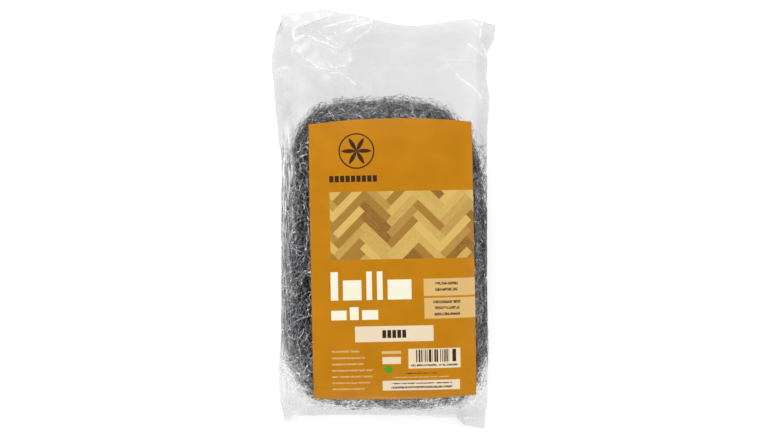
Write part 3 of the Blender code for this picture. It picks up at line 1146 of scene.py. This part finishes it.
def rosette_mask(u, v, edge):
    """A traditional six-petalled rosette drawn with a compass, in a ring."""
    x, y = u - ROSETTE[0], v - ROSETTE[1]
    radius = (x * x + y * y).math("SQRT")
    sector = math.pi / 3
    angle = y.math("ARCTAN2", x) + math.pi / 6
    folded = angle - (angle / sector).floor() * sector - sector / 2
    petal_u = radius * folded.math("COSINE")
    petal_v = (radius * folded.math("SINE")).size()
    side_u = petal_u - ROSETTE_RADIUS * math.cos(sector)
    side_v = petal_v + ROSETTE_RADIUS * math.sin(sector)
    reach = (side_u * side_u + side_v * side_v).math("SQRT") - ROSETTE_RADIUS
    ring = (radius - ROSETTE_RADIUS * 1.12).size() - 0.45
    return reach.inside(edge).most(ring.inside(edge))


def parquet(u, v, settings):
    """Herringbone boards in several woods, some lying along one slant and the rest along the other."""
    a = (u * BOARD_SLANT + v * BOARD_SLANT) / BOARD_WIDTH
    b = (v * BOARD_SLANT - u * BOARD_SLANT) / BOARD_WIDTH
    column, row = a.floor(), b.floor()
    place = (column - row + 0.5) / (2.0 * BOARD_LENGTH)
    step = (place.fraction() * (2.0 * BOARD_LENGTH)).floor()
    lies = step < BOARD_LENGTH - 0.5
    along_a = column - step
    along_b = row + (step - float(BOARD_LENGTH))
    board_a = along_a.vector(row, 1.0).random()
    board_b = column.vector(along_b, 2.0).random()
    shade = lies * board_a + (1.0 - lies) * board_b
    grain_a = (a * 1.2).vector(b * 16.0, shade * 40.0).noise(1.0, 3.0, 0.6)
    grain_b = (b * 1.2).vector(a * 16.0, shade * 40.0).noise(1.0, 3.0, 0.6)
    grain = lies * grain_a + (1.0 - lies) * grain_b
    tone = shade + (grain - 0.5) * 0.6
    wood = tone.ramp(0.15, 0.80).choose(tuple(settings.honey), tuple(settings.straw))
    dark_wood = grain.ramp(0.3, 0.7).choose(tuple(settings.chestnut), tuple(settings.honey))
    return (shade > 0.80).choose(wood, dark_wood)


def card_shader(settings, middle):
    """The card's print: plain blocks and lines, a rosette, boards and bars on an amber ground."""
    shader = Shader("card_print")
    place = shader.place()
    x, y, _ = place.parts()
    x, y = (x - middle.x) * (1 / MM), (y - middle.y) * (1 / MM)
    cosine, sine = math.cos(settings.turn), math.sin(settings.turn)
    u, v = x * cosine + y * sine - PRINT_SHIFT[0], y * cosine - x * sine - PRINT_SHIFT[1]
    mottle = place.noise(60.0, 3.0, 0.55)
    darker, lighter = ([min(1, c * share) for c in settings.amber] for share in (0.95, 1.05))
    ground = mottle.ramp(0.3, 0.7).choose(darker, lighter)
    edge = settings.edge
    colour = box_mask(u, v, *PANEL, edge).choose(ground, parquet(u, v, settings))
    for *block, ink in CARD_BLOCKS:
        colour = box_mask(u, v, *block, edge).choose(colour, tuple(getattr(settings, ink)))
    small_words = (u * 0.42).vector(v.floor() * 3.0, 0.0).noise(1.0, 1.0).ramp(0.36, 0.42)
    marks = u.vector(v * 0.8, 3.0).noise(1.7, 1.0).ramp(0.42, 0.52, 0.25, 1.0)
    small_words = small_words * marks
    for left, right, height, thickness, ink in CARD_LINES:
        line = box_mask(u, v, left, right, height - thickness / 2, height + thickness / 2, edge)
        if thickness > BIG_LINE:
            pitch = (right - left) / round((right - left) / STROKE)
            words = (((u - left) / pitch).fraction() - 0.5).size().ramp(0.36, 0.42, 1.0, 0.0)
        else:
            words = small_words
        colour = (line * words).choose(colour, tuple(getattr(settings, ink)))
    left, right, bottom, top = BAR_CODE
    module = ((u - left) * (BAR_MODULES / (right - left))).floor()
    bar = (module * 0.43).vector(7.3).noise(1.0, 0.0) > 0.5
    bars = bar * box_mask(u, v, left, right, bottom, top, edge)
    colour = bars.choose(colour, tuple(settings.dark))
    colour = rosette_mask(u, v, edge).choose(colour, tuple(settings.dark))
    off_u, off_v = u - SPOT[0], v - SPOT[1]
    off_spot = (off_u * off_u + off_v * off_v).math("SQRT") - SPOT_RADIUS
    colour = off_spot.inside(edge).choose(colour, tuple(settings.green))
    fibre = place.noise(2600.0, 3.0, 0.6).bump(0.00003, 0.35)
    roughness = mottle.ramp(0.3, 0.7, 0.42, 0.52)
    return shader.set(Base_Color=colour, Roughness=roughness, Normal=fibre, Specular_IOR_Level=0.12)


def make_card(settings):
    """The card as a fine sheet laid over the frame's card, with its thickness under it."""
    surface = Surface("printed_card")
    middle = (surface.low + surface.high) / 2
    turn = settings.turn
    right = Vector((math.cos(turn), math.sin(turn)))
    up = Vector((-right.y, right.x))
    centre = middle.xy
    ends = [surface.reach(centre, centre + way * BEYOND_CARD) for way in (right, -right)]
    width = (ends[0] - ends[1]).length - 0.0002
    columns = round(width / settings.cell)
    spans = []
    for i in range(columns):
        middle_line = ends[1].lerp(ends[0], 0.001 + 0.998 * i / (columns - 1))
        spans.append([surface.reach(middle_line, middle_line + way * BEYOND_CARD) for way in (-up, up)])
    rows = round((spans[0][1] - spans[0][0]).length / settings.cell)
    places = np.zeros((columns, rows, 3))
    for i, j in np.ndindex(columns, rows):
        place = spans[i][0].lerp(spans[i][1], 0.0005 + 0.999 * j / (rows - 1))
        places[i, j] = (*place, surface.top(*place).z)
    places[..., 2] = smooth_grid(places[..., 2], CARD_SMOOTHING)
    card, _, _ = new_sheet("card", places, card_shader(settings, middle))
    wall = card.modifiers.new("thickness", "SOLIDIFY")
    wall.thickness = settings.thickness
    wall.offset = -1.0
    bpy.context.view_layer.objects.active = card
    bpy.ops.object.modifier_apply(modifier=wall.name)
    card.data.set_sharp_from_angle(angle=math.radians(40))
    return card


def smooth_grid(values, passes):
    """Evens out a grid of values, with its border's values run straight on."""
    for _ in range(passes):
        for axis in (0, 1):
            pad = [(0, 0), (0, 0)]
            pad[axis] = (1, 1)
            wide = np.pad(values, pad, mode="reflect", reflect_type="odd")
            low, high = np.roll(wide, 1, axis), np.roll(wide, -1, axis)
            keep = slice(1, -1)
            mixed = (low + high) / 4 + wide / 2
            values = mixed[keep, :] if axis == 0 else mixed[:, keep]
    return values


class STEELWOOL_OT_card(bpy.types.Operator):
    """Lay the printed card over the hank"""

    bl_idname = "steelwool.card"
    bl_label = "Printed Card"

    def execute(self, context):
        card = make_card(context.scene.card_settings)
        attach(card, "root")
        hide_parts("printed_card")
        return {"FINISHED"}


def film_side(surface, side, stations):
    """The bag's side edge at each station, as (y, x), followed both ways from its middle."""
    edge = []
    for way in (1, -1):
        x = 0.0
        for y in stations[stations * way > 0][::way]:
            inner = x - side * SIDE_SEARCH if x else 0.0
            if surface.top(inner, y) is None:
                break
            x = surface.reach(Vector((inner, y)), Vector((side * 0.1, y))).x
            edge.append((y, x))
    return np.array(sorted(edge))


def film_end(surface, side, columns):
    """The bag's cut edge at each column, as (x, y), looked for outwards from inside the bag."""
    edge = []
    inner = side * (CAD_BOX[1][1] - END_SEARCH)
    for x in np.linspace(surface.low.x, surface.high.x, columns):
        if surface.top(x, inner) is not None:
            edge.append((x, surface.reach(Vector((x, inner)), Vector((x, side * 0.15))).y))
    return np.array(edge)


def film_plan(surface, rows, shares):
    """Plan places of the film's grid: x and y arrays of (column, row)."""
    stations = np.linspace(surface.low.y, surface.high.y, 4 * rows)
    left, right = (film_side(surface, side, stations) for side in (-1, 1))
    hem, mouth = (film_end(surface, side, END_COLUMNS) for side in (-1, 1))
    along = np.interp(np.linspace(0, 1, rows), *ROW_SHARES)[None, :]
    y = surface.low.y + (surface.high.y - surface.low.y) * along + 0 * shares[:, None]
    for _ in range(PLAN_PASSES):
        start, end = np.interp(y, *left.T), np.interp(y, *right.T)
        x = start + (end - start) * shares[:, None]
        start, end = np.interp(x, *hem.T), np.interp(x, *mouth.T)
        y = start + (end - start) * along
    return x, y


def from_line(x, y, points):
    """Distance of every place from a line through several points."""
    least = np.full(x.shape, 1.0)
    for (ax, ay), (bx, by) in zip(points, points[1:]):
        dx, dy = bx - ax, by - ay
        share = np.clip(((x - ax) * dx + (y - ay) * dy) / (dx * dx + dy * dy), 0, 1)
        least = np.minimum(least, np.hypot(x - ax - share * dx, y - ay - share * dy))
    return least


def creases(x, y):
    """Height of the sharp crumple lines, and 1 along the middle of each, where white is painted: partly
    stress whitening, partly painted highlight.
    """
    rise, marks = np.zeros(x.shape), np.zeros(x.shape)
    flat = zip((x / WAVER_SIZE).ravel(), (y / WAVER_SIZE).ravel())
    waver = 1 + WAVER * np.array([noise.noise(Vector((a, b, 0.5))) for a, b in flat]).reshape(x.shape)
    for half_width, height, points in HEADER_CREASES:
        line = [(px * MM, py * MM) for px, py in points]
        away = from_line(x, y, line) / MM * waver
        rise += height * MM * np.clip(1 - away / half_width, 0, None) ** 1.35
        sharp = np.clip(1.2 - away / (0.30 + 0.50 * half_width), 0, 1)
        soft = np.clip(1 - away / (2.6 * half_width), 0, 1) ** 2 * 0.45
        marks = np.maximum(marks, np.maximum(sharp, soft) * min(1.0, 0.15 + 1.0 * height))
    return rise, np.minimum(marks, 1.0)


def ridged(x, y, across, along, seed):
    """Random sharp-topped folds, from 0 to about 1."""
    flat = zip((x / across).ravel(), (y / along).ravel())
    values = [noise.ridged_multi_fractal(Vector((a, b, seed)), 0.9, 2.1, 3, 1.0, 2.0) for a, b in flat]
    return np.array(values).reshape(x.shape) / 2


def sheet_heights(surface, look, x, y, settings):
    """Smoothed heights of one sheet of the frame's bag over a grid of places."""
    centre = Vector((np.mean(x), np.mean(y)))
    heights = np.zeros(x.shape)
    for i, j in np.ndindex(x.shape):
        place = Vector((x[i, j], y[i, j]))
        hit = look(surface, *place)
        while hit is None:
            place = place.lerp(centre, 0.003)
            hit = look(surface, *place)
        heights[i, j] = hit.z
    return smooth_grid(heights, settings.smoothing)


def foot_rim(x, y, z):
    """1 where the film clings round the hank's foot, and 0 elsewhere and over the card."""
    places = np.stack([x, y, z], axis=-1).reshape(-1, 3)
    radius = Hank().outline(places)[2].reshape(x.shape)
    card = Surface("printed_card")
    over_card = np.array([card.top(a, b) is not None for a, b in places[:, :2]]).reshape(x.shape)
    band = smooth_share(radius, *FOOT_BAND) * (1 - FOOT_LESS * smooth_share(radius, *FOOT_BEYOND))
    return band * smooth_share(-y, *FOOT_LENGTH) * ~over_card


def film_shader(settings):
    """Thin clear film: mostly see-through, glossy by its angle, and milky where it is creased or clings, a
    white that is partly painted highlight.
    """
    shader = Shader("clear_film")
    place = shader.place()
    tree = shader.tree
    fine = place.noise(160.0, 3.0, 0.5, 0.5)
    grain = place.scaled(1.0, 0.35, 1.0).noise(700.0, 2.0, 0.5)
    normal = (fine + grain * 0.10).bump(0.0006, 0.30)
    broken = grain.ramp(0.25, 0.60, 0.35, 1.0) * place.noise(170.0, 2.0, 0.5).ramp(0.36, 0.56, 0.30, 1.0)
    # White along the creases: partly the film's stress whitening, partly painted highlight
    marks = shader.own_value("crease") * broken * settings.stress_white_and_sheen
    x, y, _ = place.parts()
    beside = x.ramp(*EMPTY_LEFT).most(x.ramp(*EMPTY_RIGHT)) * y.ramp(*EMPTY_SIDES)
    mouth = y.ramp(*EMPTY_HEADER) + y.ramp(*EMPTY_EDGE) * x.ramp(*EMPTY_EDGE_RIGHT)
    empty = mouth.most(y.ramp(*EMPTY_HEM)).most(beside)
    # Where the film clings to the wool, on its left side and round its foot, its white is partly milkiness
    # and partly painted glints and reflections
    left = x.ramp(*CLING_LEFT) * y.ramp(*CLING_BELOW)
    patch = place.noise(75.0, 3.0, 0.6, 0.8).ramp(0.38, 0.62, 0.25, 1.0)
    speck = place.noise(620.0, 3.0, 0.6).ramp(0.40, 0.60, 0.20, 1.0)
    streak = place.scaled(1.0, 0.10, 1.0).noise(800.0, 3.0, 0.6).ramp(0.42, 0.62, 0.1, 1.0)
    foot = shader.own_value("rim") * patch * speck * settings.cling_milk_and_sheen
    cling_milk_and_sheen = foot.most(left * streak * y.ramp(*CLING_FADE))
    cloud = place.noise(55.0, 4.0, 0.6, 1.2).ramp(0.42, 0.68) * x.ramp(*CLOUD_FADE) * empty * CLOUD_SHARE
    white = marks.most(cling_milk_and_sheen).most(cloud)
    haze = (empty * settings.haze + white).least(1.0)
    milk = (white / (haze + 0.0001)).choose(HAZE_COLOUR, MARK_COLOUR)
    clear = tree.nodes.new("ShaderNodeBsdfTransparent")
    clear.inputs["Color"].default_value = (settings.clearness, settings.clearness, settings.clearness, 1.0)
    weight = tree.nodes.new("ShaderNodeLayerWeight")
    weight.inputs["Blend"].default_value = 0.5
    tree.links.new(normal.socket, weight.inputs["Normal"])
    gloss = Field(tree, weight.outputs["Facing"]).math("POWER", 4.0) * settings.edge_gloss + settings.gloss
    mix = tree.nodes.new("ShaderNodeMixShader")
    tree.links.new((gloss + haze).least(1.0).socket, mix.inputs[0])
    tree.links.new(clear.outputs[0], mix.inputs[1])
    tree.links.new(shader.principled.outputs[0], mix.inputs[2])
    tree.links.new(mix.outputs[0], shader.output.inputs["Surface"])
    metal = gloss / (gloss + haze)
    colour = metal.choose(milk, MARK_COLOUR)
    return shader.set(Base_Color=colour, Roughness=settings.roughness, Metallic=metal, Normal=normal)


def make_film(settings):
    """The bag: a front and a back sheet joined down both sides, open at the mouth."""
    surface = Surface("film_bag")
    free = [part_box("wool_bundle")[1].y + beyond for beyond in FREE_FILM]
    sheets = []
    for columns, look in ((settings.front_columns, Surface.top), (settings.back_columns, Surface.foot)):
        even = np.linspace(-1, 1, columns + 1)
        shares = 0.5 + 0.5 * (0.35 * even + 0.65 * np.sin(even * math.pi / 2))
        x, y = film_plan(surface, settings.rows, shares)
        z = sheet_heights(surface, look, x, y, settings)
        sheets.append([x, y, z])
    marks = []
    for k, (x, y, z) in enumerate(sheets):
        empty = smooth_share(y, *free)
        rim = smooth_share(1 - np.abs(np.linspace(-1, 1, x.shape[0]))[:, None], 0.0, SIDE_STRIP)
        lively = CRUMPLE_RIGHT + (1 - CRUMPLE_RIGHT) * smooth_share(-x, 0.000, 0.020)
        crumple = settings.crumple * (ridged(x, y, *CRUMPLE_CELLS) - 0.5)
        crumple = crumple * empty * (CRUMPLE_MIDDLE + (1 - CRUMPLE_MIDDLE) * rim) * lively
        sharp, mark = creases(x, y)
        marks.append(mark * (1 - k))
        rise = sharp * (empty if k else 1.0) + crumple
        if k == 0:
            hug = (1 - empty) * rim
            rise += settings.ripple * ridged(x, y, *RIPPLE_CELLS) * hug
        sheets[k][2] = np.maximum(z + rise, 0.0)
    front, back = sheets
    for edge in (0, -1):
        middle = (front[2][edge] + back[2][edge]) / 2
        for sheet in sheets:
            sheet[2][edge] = middle
        for axis in (0, 1):
            back[axis][edge] = front[axis][edge]
    material = film_shader(settings)
    made = []
    for name, sheet, mark in zip(("film", "film_back"), sheets, marks):
        piece, i, j = new_sheet(name, np.stack(sheet, axis=2), material)
        for value, places in (("crease", mark), ("rim", foot_rim(*sheet))):
            carried = piece.data.attributes.new(value, "FLOAT", "POINT")
            carried.data.foreach_set("value", places[i, j].astype(np.float32))
        made.append(piece)
    front, back = made
    back.data.flip_normals()
    bpy.ops.object.select_all(action="DESELECT")
    for piece in made:
        piece.select_set(True)
    bpy.context.view_layer.objects.active = front
    bpy.ops.object.join()
    bpy.ops.object.mode_set(mode="EDIT")
    bpy.ops.mesh.select_all(action="SELECT")
    bpy.ops.mesh.remove_doubles(threshold=0.000001)
    bpy.ops.object.mode_set(mode="OBJECT")
    return front


class STEELWOOL_OT_film(bpy.types.Operator):
    """Close the pack in its clear film bag"""

    bl_idname = "steelwool.film"
    bl_label = "Film Bag"

    def execute(self, context):
        bag = make_film(context.scene.film_settings)
        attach(bag, "root")
        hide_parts("film_bag")
        return {"FINISHED"}


def make_camera(settings):
    """A camera straight over the pack, framed so that a pixel at the card has its known width."""
    camera = bpy.data.cameras.new("camera")
    card = Surface("printed_card")
    distance = settings.height - (card.low.z + card.high.z) / 2
    camera.lens = camera.sensor_width * distance / (settings.pixel * settings.pixels)
    camera.clip_start = 0.01
    item = bpy.data.objects.new("camera", camera)
    item.location = (settings.across, settings.along, settings.height)
    bpy.context.scene.collection.objects.link(item)
    bpy.context.scene.camera = item


def seen_share(tree):
    """1 for the camera, and for what gloss and clear things show."""
    rays = tree.nodes.new("ShaderNodeLightPath").outputs
    names = ("Is Camera Ray", "Is Glossy Ray", "Is Transmission Ray")
    camera, gloss, clear = (Field(tree, rays[name]) for name in names)
    return camera.most(gloss).most(clear)


def make_floor(settings):
    """A pale floor that shows white to the camera and still takes the pack's shadow."""
    shader = Shader("floor")
    grey = (settings.floor, settings.floor, settings.floor, 1.0)
    material = shader.set(Base_Color=grey, Roughness=1.0, Specular_IOR_Level=0.0)
    x, y, _ = shader.place().parts()
    camera = Field(shader.tree, shader.tree.nodes.new("ShaderNodeLightPath").outputs["Is Camera Ray"])
    far = (x * x + y * y).math("SQRT").ramp(*FLOOR_FADE) * camera
    white = far.choose((settings.floor_lift,) * 3, (1.0, 1.0, 1.0))
    shader.set(Emission_Color=white, Emission_Strength=seen_share(shader.tree))
    bpy.ops.object.select_all(action="DESELECT")
    bpy.ops.mesh.primitive_plane_add(size=FLOOR_WIDTH)
    floor = bpy.context.active_object
    floor.name = floor.data.name = "floor"
    floor.data.transform(Matrix.Translation((0, 0, -FLOOR_DROP)))
    floor.data.materials.append(material)


def make_room(settings):
    """Even light from all round, dimmer overhead than at eye level."""
    world = bpy.data.worlds.new("room")
    world.use_nodes = True
    bpy.context.scene.world = world
    tree = world.node_tree
    background = tree.nodes["Background"]
    up = Field(tree, tree.nodes.new("ShaderNodeTexCoord").outputs["Generated"]).parts()[2]
    level = up.size().ramp(0.15, 0.85, settings.horizon, settings.zenith)
    rays = tree.nodes.new("ShaderNodeLightPath")
    seen = Field(tree, rays.outputs["Is Camera Ray"])
    strength = seen + (1.0 - seen) * level
    tree.links.new(strength.socket, background.inputs["Strength"])
    background.inputs["Color"].default_value = (1, 1, 1, 1)


def make_lamps(settings):
    """Soft lamps low all round the pack, for glints on folds and strands."""
    for name, place, share in LAMPS:
        lamp = bpy.data.lights.new(name, "AREA")
        lamp.shape = "RECTANGLE"
        lamp.size, lamp.size_y = settings.lamp_size, settings.lamp_size * 0.8
        lamp.energy = settings.lamp_power * share
        item = bpy.data.objects.new(name, lamp)
        item.location = place
        item.rotation_euler = (-Vector(place)).to_track_quat("-Z", "Y").to_euler()
        bpy.context.scene.collection.objects.link(item)


class STEELWOOL_OT_stage(bpy.types.Operator):
    """Set the camera, the light and the floor"""

    bl_idname = "steelwool.stage"
    bl_label = "Stage"

    def execute(self, context):
        settings = context.scene.stage_settings
        make_camera(settings)
        make_floor(settings)
        make_room(settings)
        make_lamps(settings)
        context.scene.view_settings.view_transform = "Standard"
        return {"FINISHED"}


class STEELWOOL_PT_panel(bpy.types.Panel):
    """Settings and steps, in the order in which they run"""

    bl_label = "Steel Wool Pack"
    bl_idname = "STEELWOOL_PT_panel"
    bl_space_type = "VIEW_3D"
    bl_region_type = "UI"
    bl_category = "Steel Wool"

    def draw(self, context):
        for step in STEPS:
            self.layout.operator(step.bl_idname)
        for name, kind in SETTINGS.items():
            column = self.layout.column(align=True)
            for setting in kind.__annotations__:
                column.prop(getattr(context.scene, name), setting)


SETTINGS = {
    "wool_settings": WoolSettings,
    "card_settings": CardSettings,
    "film_settings": FilmSettings,
    "stage_settings": StageSettings,
}
STEPS = (STEELWOOL_OT_core, STEELWOOL_OT_strands, STEELWOOL_OT_card, STEELWOOL_OT_film, STEELWOOL_OT_stage)


def register():
    for kind in (*SETTINGS.values(), *STEPS, STEELWOOL_PT_panel):
        bpy.utils.register_class(kind)
    for name, kind in SETTINGS.items():
        setattr(bpy.types.Scene, name, PointerProperty(type=kind))


def unregister():
    for name in SETTINGS:
        delattr(bpy.types.Scene, name)
    for kind in (STEELWOOL_PT_panel, *reversed(STEPS), *reversed(SETTINGS.values())):
        bpy.utils.unregister_class(kind)


def main():
    register()
    bpy.ops.steelwool.stage()
    bpy.ops.steelwool.core()
    bpy.ops.steelwool.strands()
    bpy.ops.steelwool.card()
    bpy.ops.steelwool.film()


if __name__ == "__main__":
    main()
